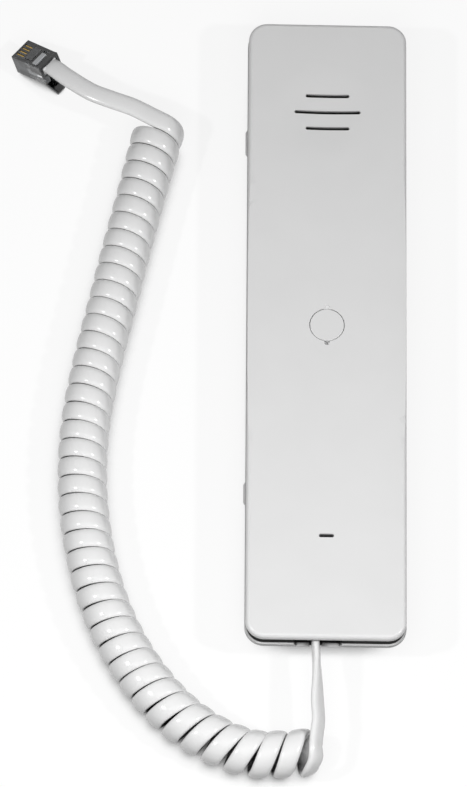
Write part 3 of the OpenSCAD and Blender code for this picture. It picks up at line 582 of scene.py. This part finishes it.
class CordSizes(bpy.types.PropertyGroup):
    """Sizes and colour of the curly cord"""
    width: bpy.props.FloatProperty(
        name="Width", description="Width of the flat cord",
        default=5.5 * MM, min=3 * MM, max=6 * MM, subtype="DISTANCE", unit="LENGTH")
    thickness: bpy.props.FloatProperty(
        name="Thickness", description="Thickness of the flat cord",
        default=2.5 * MM, min=1.5 * MM, max=3 * MM, subtype="DISTANCE", unit="LENGTH")
    curl_radius: bpy.props.FloatProperty(
        name="Curl radius", description="Radius of a curl at the cord's middle",
        default=5.95 * MM, min=4 * MM, max=8 * MM, subtype="DISTANCE", unit="LENGTH")
    curls: bpy.props.IntProperty(
        name="Curls", description="Number of curls",
        default=41, min=5, max=42)
    rings: bpy.props.IntProperty(
        name="Rings", description="Rings of the mesh in a curl",
        default=32, min=8, max=64)
    colour: bpy.props.FloatVectorProperty(
        name="Jacket", description="Colour of the cord's jacket",
        default=linear("e6e6e6"), subtype="COLOR", size=3, min=0, max=1)


class HANDSET_OT_cord(bpy.types.Operator):
    """Makes the flat curly cord from the handset to its free plug"""
    bl_idname = "handset.cord"
    bl_label = "Make the cord"

    def execute(self, context):
        sizes = context.scene.handset_cord
        line, ups = cord_line(sizes)
        bm = band(line, ups, sizes.width / MM / 2, sizes.thickness / MM / 2)
        cord = new_piece("curly_cord", bm, "handset", FINISH["cord"])
        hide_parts("cord_tail", "cord_coil", "cord_lead")
        length = sum((q - p).length for p, q in zip(line, line[1:])) * MM
        least = 0.9 * sizes.curls * 2 * math.pi * sizes.curl_radius
        if length < least:
            raise RuntimeError("the cord came out shorter than its own curls")
        free_end = sorted(piece.name for piece in bpy.data.objects if piece.name.startswith("free_plug_"))
        if not free_end:
            raise RuntimeError("make the plugs first: the cord carries the free one")
        print("cord length", round(length, 4))
        return {"FINISHED"}


# ---------------------------------------------------------------- camera and stage

# the camera looks down on the face from this far off, in m, tilted towards the mouth end,
# a little from the side and a little rolled, in degrees. The point that it looks at is in mm
CAMERA_OFF = 2.73
CAMERA_TILT = 23.47
CAMERA_SIDE = 1.5
CAMERA_ROLL = 0.4
CAMERA_AIM = (-26.85, -21.61, 18)

# the floor: its radius in m, how far it lies under the pieces in mm, and how much of what is
# seen of it is its own white
FLOOR_RADIUS = 4
FLOOR_DROP = 0.05
FLOOR_WHITE = 0.85
# shade is painted into the floor's glow: it is dark where it is less open than the first value, and white
# from the second on. Openness is measured over this many mm
FLOOR_DARK = 0.25
FLOOR_OPEN = 0.6
FLOOR_REACH = 9

# name, place and aim in m, width in m, and the setting that holds the power
LAMPS = (
    ("top_lamp", (-0.03, -0.21, 0.32), (-0.03, -0.11, 0), 0.25, "top"),
    ("left_lamp", (-0.62, -0.23, 0.72), (-0.03, 0, 0), 0.06, "sides"),
    ("right_lamp", (0.56, -0.23, 0.72), (-0.03, 0, 0), 0.06, "sides"),
)


class StageSettings(bpy.types.PropertyGroup):
    """Colours, camera and lights of the stage"""
    floor: bpy.props.FloatVectorProperty(
        name="Floor", description="Colour of the floor as it is seen",
        default=linear("fafafa"), subtype="COLOR", size=3, min=0, max=1)
    bounce: bpy.props.FloatVectorProperty(
        name="Bounce", description="Colour that the floor throws back on the object",
        default=linear("787878"), subtype="COLOR", size=3, min=0, max=1)
    lens: bpy.props.FloatProperty(
        name="Lens", description="Focal length of the camera in millimetres",
        default=434.46, min=50, max=900)
    sky: bpy.props.FloatProperty(
        name="Sky", description="Strength of the even light from all round",
        default=0.1, min=0, max=2)
    top: bpy.props.FloatProperty(
        name="Top lamp", description="Power of the soft lamp over the mouth end",
        default=0.62, min=0, max=20, subtype="POWER", unit="POWER")
    sides: bpy.props.FloatProperty(
        name="Side lamps", description="Power of each of the two small side lamps",
        default=2.96, min=0, max=20, subtype="POWER", unit="POWER")


class HANDSET_OT_camera(bpy.types.Operator):
    """Sets the camera, far off and a little towards the mouth end"""
    bl_idname = "handset.camera"
    bl_label = "Set the camera"

    def execute(self, context):
        tilt, side, roll = (math.radians(a) for a in (CAMERA_TILT, CAMERA_SIDE, CAMERA_ROLL))
        back = Vector((-math.tan(side), -math.tan(tilt), 1)).normalized()
        right = Vector((0, 1, 0)).cross(back).normalized()
        up = back.cross(right)
        r = right * math.cos(roll) + up * math.sin(roll)
        u = -right * math.sin(roll) + up * math.cos(roll)
        place = Vector(CAMERA_AIM) * MM + back * CAMERA_OFF
        camera = bpy.data.objects.new("camera", bpy.data.cameras.new("camera"))
        context.scene.collection.objects.link(camera)
        camera.matrix_world = Matrix(((r.x, u.x, back.x, place.x), (r.y, u.y, back.y, place.y),
                                      (r.z, u.z, back.z, place.z), (0, 0, 0, 1)))
        camera.data.sensor_width = 36
        camera.data.lens = context.scene.handset_stage.lens
        camera.data.clip_end = 20
        context.scene.camera = camera
        return {"FINISHED"}


def looked_at(tree):
    """1 for camera, glossy and transmission rays, which see the background, 0 for those that light."""
    rays = add(tree, "ShaderNodeLightPath")
    seen = add(tree, "ShaderNodeMath", {0: (rays, "Is Camera Ray"), 1: (rays, "Is Glossy Ray")},
               operation="MAXIMUM")
    return add(tree, "ShaderNodeMath", {0: (seen, 0), 1: (rays, "Is Transmission Ray")},
               operation="MAXIMUM")


def pale_floor(settings):
    """Matt pale paper, seen white, with shade painted dark into it in narrow gaps under and between the
    curls.
    """
    made, tree, out = new_material("pale_paper_floor")[:3]
    seen = looked_at(tree)
    colour = add(tree, "ShaderNodeMix", {0: (seen, 0)}, data_type="RGBA")
    colour.inputs[6].default_value = (*settings.bounce, 1)
    colour.inputs[7].default_value = (*settings.floor, 1)
    paper = add(tree, "ShaderNodeBsdfDiffuse", {"Color": (colour, 2)})
    # painted shade: the floor's white glow fades where the curls close it in
    sky = add(tree, "ShaderNodeAmbientOcclusion", Distance=FLOOR_REACH * MM, samples=OPENNESS_SAMPLES)
    white = add(tree, "ShaderNodeMapRange", {"Value": (sky, "AO")}, From_Min=FLOOR_DARK,
                From_Max=FLOOR_OPEN)
    glow = add(tree, "ShaderNodeEmission", {"Strength": (white, "Result")}, Color=(1, 1, 1, 1))
    share = add(tree, "ShaderNodeMath", {0: (seen, 0)}, operation="MULTIPLY")
    share.inputs[1].default_value = FLOOR_WHITE
    mixed = add(tree, "ShaderNodeMixShader", {0: (share, 0), 1: (paper, 0), 2: (glow, 0)})
    tree.links.new(mixed.outputs[0], out.inputs["Surface"])
    return made


def lay_floor(settings):
    """A wide round floor, just under the pieces."""
    bm = bmesh.new()
    bmesh.ops.create_circle(bm, cap_ends=True, segments=96, radius=FLOOR_RADIUS)
    bmesh.ops.translate(bm, verts=bm.verts, vec=(0, 0, -FLOOR_DROP * MM))
    floor = new_object("floor", bm)
    dress(floor, pale_floor(settings))


def set_sky(settings):
    """An even sky that lights weakly and looks white."""
    world = bpy.data.worlds.new("even_sky")
    bpy.context.scene.world = world
    world.use_nodes = True
    tree = world.node_tree
    tree.nodes.clear()
    out = add(tree, "ShaderNodeOutputWorld")
    seen = looked_at(tree)
    sky = add(tree, "ShaderNodeBackground", Color=(1, 1, 1, 1), Strength=settings.sky)
    white = add(tree, "ShaderNodeBackground", Color=(1, 1, 1, 1), Strength=1.0)
    mixed = add(tree, "ShaderNodeMixShader", {0: (seen, 0), 1: (sky, 0), 2: (white, 0)})
    tree.links.new(mixed.outputs[0], out.inputs["Surface"])


def set_lamp(name, at, aim, width, power):
    """A round soft lamp, turned to what it lights."""
    lamp = bpy.data.objects.new(name, bpy.data.lights.new(name, "AREA"))
    bpy.context.scene.collection.objects.link(lamp)
    lamp.data.shape = "DISK"
    lamp.data.size = width
    lamp.data.energy = power
    lamp.location = at
    lamp.rotation_euler = (Vector(at) - Vector(aim)).to_track_quat("Z", "Y").to_euler()
    # the large lamp only fills; the glints come from the two small ones
    lamp.visible_glossy = name != "top_lamp"


class HANDSET_OT_stage(bpy.types.Operator):
    """Lays a plain pale floor and sets the soft lights"""
    bl_idname = "handset.stage"
    bl_label = "Set the stage"

    def execute(self, context):
        settings = context.scene.handset_stage
        lay_floor(settings)
        set_sky(settings)
        for name, at, aim, width, power in LAMPS:
            set_lamp(name, at, aim, width, getattr(settings, power))
        context.scene.view_settings.view_transform = "Standard"
        return {"FINISHED"}


# ---------------------------------------------------------------- case, key, plugs and inside

class CaseSettings(bpy.types.PropertyGroup):
    """Colours and edges of the case"""
    front: bpy.props.FloatVectorProperty(
        name="Front", description="Colour of the front shell and key",
        default=linear("dedede"), subtype="COLOR", size=3, min=0, max=1)
    # the back shell is the front's plastic; its colour is set darker as painted shade
    rear: bpy.props.FloatVectorProperty(
        name="Back", description="Colour of the back shell",
        default=linear("cacaca"), subtype="COLOR", size=3, min=0, max=1)
    edge: bpy.props.FloatProperty(
        name="Eased edge", description="Radius of the small eased edges",
        default=0.12 * MM, min=0, max=0.4 * MM, subtype="DISTANCE", unit="LENGTH")


class HANDSET_OT_case(bpy.types.Operator):
    """Makes the front and back shells, the black strip that paints the shade in the gap between them, and
    the screws
    """
    bl_idname = "handset.case"
    bl_label = "Make the case"

    def execute(self, context):
        edge = context.scene.handset_case.edge / MM
        rounded_copy("front_shell", "front_face", "handset", FINISH["front"], edge)
        rounded_copy("rear_shell", "back_shell", "handset", FINISH["rear"], edge)
        # painted shade: a black strip fills the gap between the shells where only shade falls
        dress(cad("gap_seal"), FINISH["seal"])
        dress(cad("case_screws"), FINISH["screws"])
        return {"FINISHED"}


class HANDSET_OT_key(bpy.types.Operator):
    """Makes the round centre key and its switch"""
    bl_idname = "handset.key"
    bl_label = "Make the key"

    def execute(self, context):
        edge = context.scene.handset_case.edge / MM
        rounded_copy("push_key", "centre_key", "key", FINISH["key"], edge)
        dress(cad("switch_body"), FINISH["black"])
        dress(cad("switch_plunger"), FINISH["red"])
        return {"FINISHED"}


# boxes in a plug's own frame by name: finish, then low corner and high corner of each, and the
# rounded edge of them all, in mm
PLUG_BARS = {
    "nose": ("clear", [((-3.7, 0.02, 6.05), (3.7, 0.5, 6.62))]),
    "block": ("clear_pale", [((-2.45, 4.3, 6.4), (2.45, 7.1, 6.72))]),
    "relief": ("pale_opaque", [((-1.6, 8.1, 6.1), (3.1, 9.6, 6.95))]),
    "collar": ("clear_edge", [((-3.86, 11.35, 6.1), (3.86, 12.03, 6.66)),
                              ((-3.88, 11.35, 2.3), (-3.3, 12.03, 6.1)),
                              ((3.3, 11.35, 2.3), (3.88, 12.03, 6.1))]),
}
BAR_EDGE = 0.1
# edges of the plug's moulded shell and latch, in mm
PLUG_EDGE = 0.12
# the end of the jacket that is clamped in a plug: low corner, high corner and rounded edge, in mm
JACKET_LOW = (-3.03, 6.2, CORD_RISE - 1.6)
JACKET_HIGH = (3.03, 12.02, CORD_RISE + 1.6)
JACKET_EDGE = 0.9
# the wires between the jacket's end and the contacts: finishes, spacing, radius, length and middle
WIRE_COLOURS = ("black", "wire_red", "wire_green", "wire_yellow")
WIRE_PITCH = 1.27
WIRE_RADIUS = 0.5
WIRE_L = 2.2
WIRE_Y = 5.6


def plug_box(bm, place, low, high):
    """Adds a closed box to bm, given by two corners in a plug's own frame in mm."""
    low, high = Vector(low), Vector(high)
    size = Matrix.Diagonal((*(high - low), 1))
    middle = Matrix.Translation((low + high) / 2)
    bmesh.ops.create_cube(bm, size=1, matrix=Matrix.Scale(MM, 4) @ place @ middle @ size)


def ease_edges(bm, edge_mm, segments):
    """Rounds every edge of a closed bmesh."""
    bmesh.ops.bevel(bm, geom=bm.edges[:], offset=edge_mm * MM, offset_type="OFFSET", segments=segments,
                    profile=0.5, affect="EDGES", material=-1)


def plug_bars(side, place):
    """The nose, rib, strain relief and collar of a clear plug."""
    for name, (finish, boxes) in PLUG_BARS.items():
        bm = bmesh.new()
        for low, high in boxes:
            plug_box(bm, place, low, high)
        ease_edges(bm, BAR_EDGE, 2)
        bmesh.ops.recalc_face_normals(bm, faces=bm.faces)
        new_piece(side + "_plug_" + name, bm, "handset", FINISH[finish])


def jacket_end(side, place):
    """The end of the cord's jacket, clamped inside a plug and seen through it."""
    bm = bmesh.new()
    plug_box(bm, place, JACKET_LOW, JACKET_HIGH)
    ease_edges(bm, JACKET_EDGE, 4)
    for face in bm.faces:
        face.smooth = True
    bmesh.ops.recalc_face_normals(bm, faces=bm.faces)
    new_piece(side + "_plug_jacket_end", bm, "handset", FINISH["cord"])


def plug_wires(side, place):
    """The four wires that run from the jacket's end to a plug's contacts."""
    for i, finish in enumerate(WIRE_COLOURS):
        bm = bmesh.new()
        bmesh.ops.create_cone(bm, cap_ends=True, segments=16, radius1=WIRE_RADIUS * MM,
                              radius2=WIRE_RADIUS * MM, depth=WIRE_L * MM)
        across = (i - (len(WIRE_COLOURS) - 1) / 2) * WIRE_PITCH
        at = place @ Matrix.Translation((across, WIRE_Y, CORD_RISE)) @ Matrix.Rotation(math.pi / 2, 4, "X")
        bmesh.ops.transform(bm, matrix=Matrix.Scale(MM, 4) @ at @ Matrix.Scale(1 / MM, 4), verts=bm.verts)
        for face in bm.faces:
            face.smooth = len(face.verts) == 4
        new_piece("%s_plug_wire_%d" % (side, i + 1), bm, "handset", FINISH[finish])


class HANDSET_OT_plugs(bpy.types.Operator):
    """Makes the two clear modular plugs with their contacts and latches"""
    bl_idname = "handset.plugs"
    bl_label = "Make the plugs"

    def execute(self, context):
        for side, latch_body in (("free", "free_latch"), ("handset", "handset_latch")):
            plug, place = side + "_plug_", plug_frame(side)
            rounded_copy(plug + "body", plug + "shell", "handset", FINISH["clear"],
                         PLUG_EDGE)
            rounded_copy(plug + "latch", plug + "lever", latch_body, FINISH["clear"],
                         PLUG_EDGE)
            dress(cad(plug + "contacts"), FINISH["gold"])
            plug_bars(side, place)
            jacket_end(side, place)
            plug_wires(side, place)
        dress(cad("jack_housing"), FINISH["black"])
        dress(cad("jack_contacts"), FINISH["gold"])
        return {"FINISHED"}


# finish of each piece inside the case
INSIDE = {
    "circuit_board": "board", "board_screws": "screws", "board_connectors": "cream",
    "board_components": "black", "balance_weight": "steel", "ear_cloth": "cloth",
    "receiver_gasket": "foam", "receiver_diaphragm": "film", "receiver_coil": "copper",
    "receiver_magnet": "magnet", "receiver_frame": "black", "receiver_pad": "foam",
    "mic_boot": "seal", "mic_capsule": "can",
    "receiver_leads": "wire_red", "mic_leads": "wire_blue", "jack_leads": "wire_green",
}


class HANDSET_OT_inside(bpy.types.Operator):
    """Finishes the pieces inside the case"""
    bl_idname = "handset.inside"
    bl_label = "Finish the inside"

    def execute(self, context):
        for node, finish in INSIDE.items():
            dress(cad(node), FINISH[finish])
        return {"FINISHED"}


def make_finishes():
    """Every finish of the handset, each named for the real material and how it was made."""
    case, cord = bpy.context.scene.handset_case, bpy.context.scene.handset_cord
    FINISH.update({
        # light grey ABS from a satin mould: even colour, soft broad sheen, and shade painted dark into its
        # slots, but not round the key
        "front": plastic("moulded_abs_light_grey", case.front, 0.3, painted_shade=(4, 0.3, 0.16),
                         unshaded_place=(*KEY_AT, KEY_UNSHADED)),
        "key": plastic("moulded_abs_light_grey_key", case.front, 0.3),
        # the front's plastic from a coarser mould: duller, its colour darker as painted shade, and shade
        # painted dark under the front shell
        "rear": plastic("moulded_abs_light_grey_back", case.rear, 0.5, specular=0.15, painted_shade=(12, 0.5, 0.28)),
        # light grey PVC, extruded and heat set: smooth, a little waxy, with shade painted dark between the
        # curls
        "cord": plastic("extruded_pvc_light_grey", cord.colour, 0.19, grain_mm=0.4, grain_depth=0.03,
                        painted_shade=(14, 0.43, 0.22)),
        # polycarbonate: tinted dark in the shell and collar as painted shade, pale in the block, opaque and
        # pale at the strain relief, and clearer at the flanks as painted light
        "clear": clear_plastic("moulded_polycarbonate_clear", "3e4042", 0.04, flank="f0f1f2"),
        "clear_pale": clear_plastic("moulded_polycarbonate_clear_thin", "c0c2c4", 0.1),
        "clear_edge": clear_plastic("moulded_polycarbonate_clear_edge", "3c3e40", 0.1),
        "pale_opaque": plastic("moulded_polycarbonate_frosted", "b4b6b8", 0.25),
        # thin gold over bronze spring wire: warm, softly bright
        "gold": metal("gold_plated_phosphor_bronze", "ae9254", 0.3),
        # black rubber, also on the strip that paints the shade in the gap between the shells, and black
        # ABS: deep, almost without sheen
        "seal": plastic("moulded_rubber_black", "161616", 0.6, grain_mm=0.3, specular=0.1),
        "black": plastic("moulded_abs_black", "101011", 0.45, specular=0.1),
        # nylon: satin, strong even colour
        "red": plastic("moulded_nylon_red", "a02018", 0.4),
        "cream": plastic("moulded_nylon_cream", "e6dfc8", 0.45),
        # metals inside: bright zinc, dull steel, grey nickel, soft aluminium, brown enamelled wire
        "screws": metal("zinc_plated_steel", "b9bbbf", 0.32),
        "steel": metal("cold_rolled_steel", "8c8e92", 0.4),
        "magnet": metal("nickel_plated_magnet", "77787b", 0.3),
        "can": metal("drawn_aluminium_can", "c4c5c8", 0.3),
        "copper": metal("enamelled_copper_wire", "a8602c", 0.3, streak_mm=0.1),
        # lacquer over glass cloth: green, uneven where tracks run under it
        "board": plastic("solder_mask_green", "1d5a34", 0.3, mottle=0.12),
        # thin pressed film: pale and glossy
        "film": plastic("pressed_polyester_film", "d9cfae", 0.25),
        # cloth and foam: black and dark grey, without gloss
        "cloth": woven("woven_acoustic_cloth_black", "141414", 0.25),
        "foam": woven("open_cell_foam_dark_grey", "303031", 0.6),
        # PVC wire insulation: strong colours, smooth
        "wire_red": plastic("extruded_pvc_red", "9a1414", 0.35),
        "wire_blue": plastic("extruded_pvc_blue", "16328c", 0.35),
        "wire_yellow": plastic("extruded_pvc_yellow", "c8a018", 0.35),
        "wire_green": plastic("extruded_pvc_green", "147038", 0.35),
    })


# ---------------------------------------------------------------- panel, registration and run

# the order in which the scene is made
STEPS = ("camera", "plugs", "cord", "stage", "case", "key", "inside")


class HANDSET_PT_panel(bpy.types.Panel):
    """Lists the sizes, the colours and the steps"""
    bl_label = "Handset"
    bl_idname = "HANDSET_PT_panel"
    bl_space_type = "VIEW_3D"
    bl_region_type = "UI"
    bl_category = "Handset"

    def draw(self, context):
        scene = context.scene
        for group in (scene.handset_cord, scene.handset_case, scene.handset_stage):
            box = self.layout.box()
            for key in group.__annotations__:
                box.prop(group, key)
        for step in STEPS:
            self.layout.operator("handset." + step)


CLASSES = (CordSizes, StageSettings, CaseSettings, HANDSET_OT_camera, HANDSET_OT_cord, HANDSET_OT_stage,
           HANDSET_OT_case, HANDSET_OT_key, HANDSET_OT_plugs, HANDSET_OT_inside, HANDSET_PT_panel)


def register():
    """Makes the classes and the scene's settings known."""
    for one in CLASSES:
        bpy.utils.register_class(one)
    bpy.types.Scene.handset_cord = bpy.props.PointerProperty(type=CordSizes)
    bpy.types.Scene.handset_stage = bpy.props.PointerProperty(type=StageSettings)
    bpy.types.Scene.handset_case = bpy.props.PointerProperty(type=CaseSettings)


def unregister():
    """Takes the settings and the classes away again."""
    for key in ("handset_cord", "handset_stage", "handset_case"):
        delattr(bpy.types.Scene, key)
    for one in reversed(CLASSES):
        bpy.utils.unregister_class(one)


def main():
    """Makes the whole scene."""
    register()
    make_finishes()
    for step in STEPS:
        getattr(bpy.ops.handset, step)()


if __name__ == "__main__":
    main()
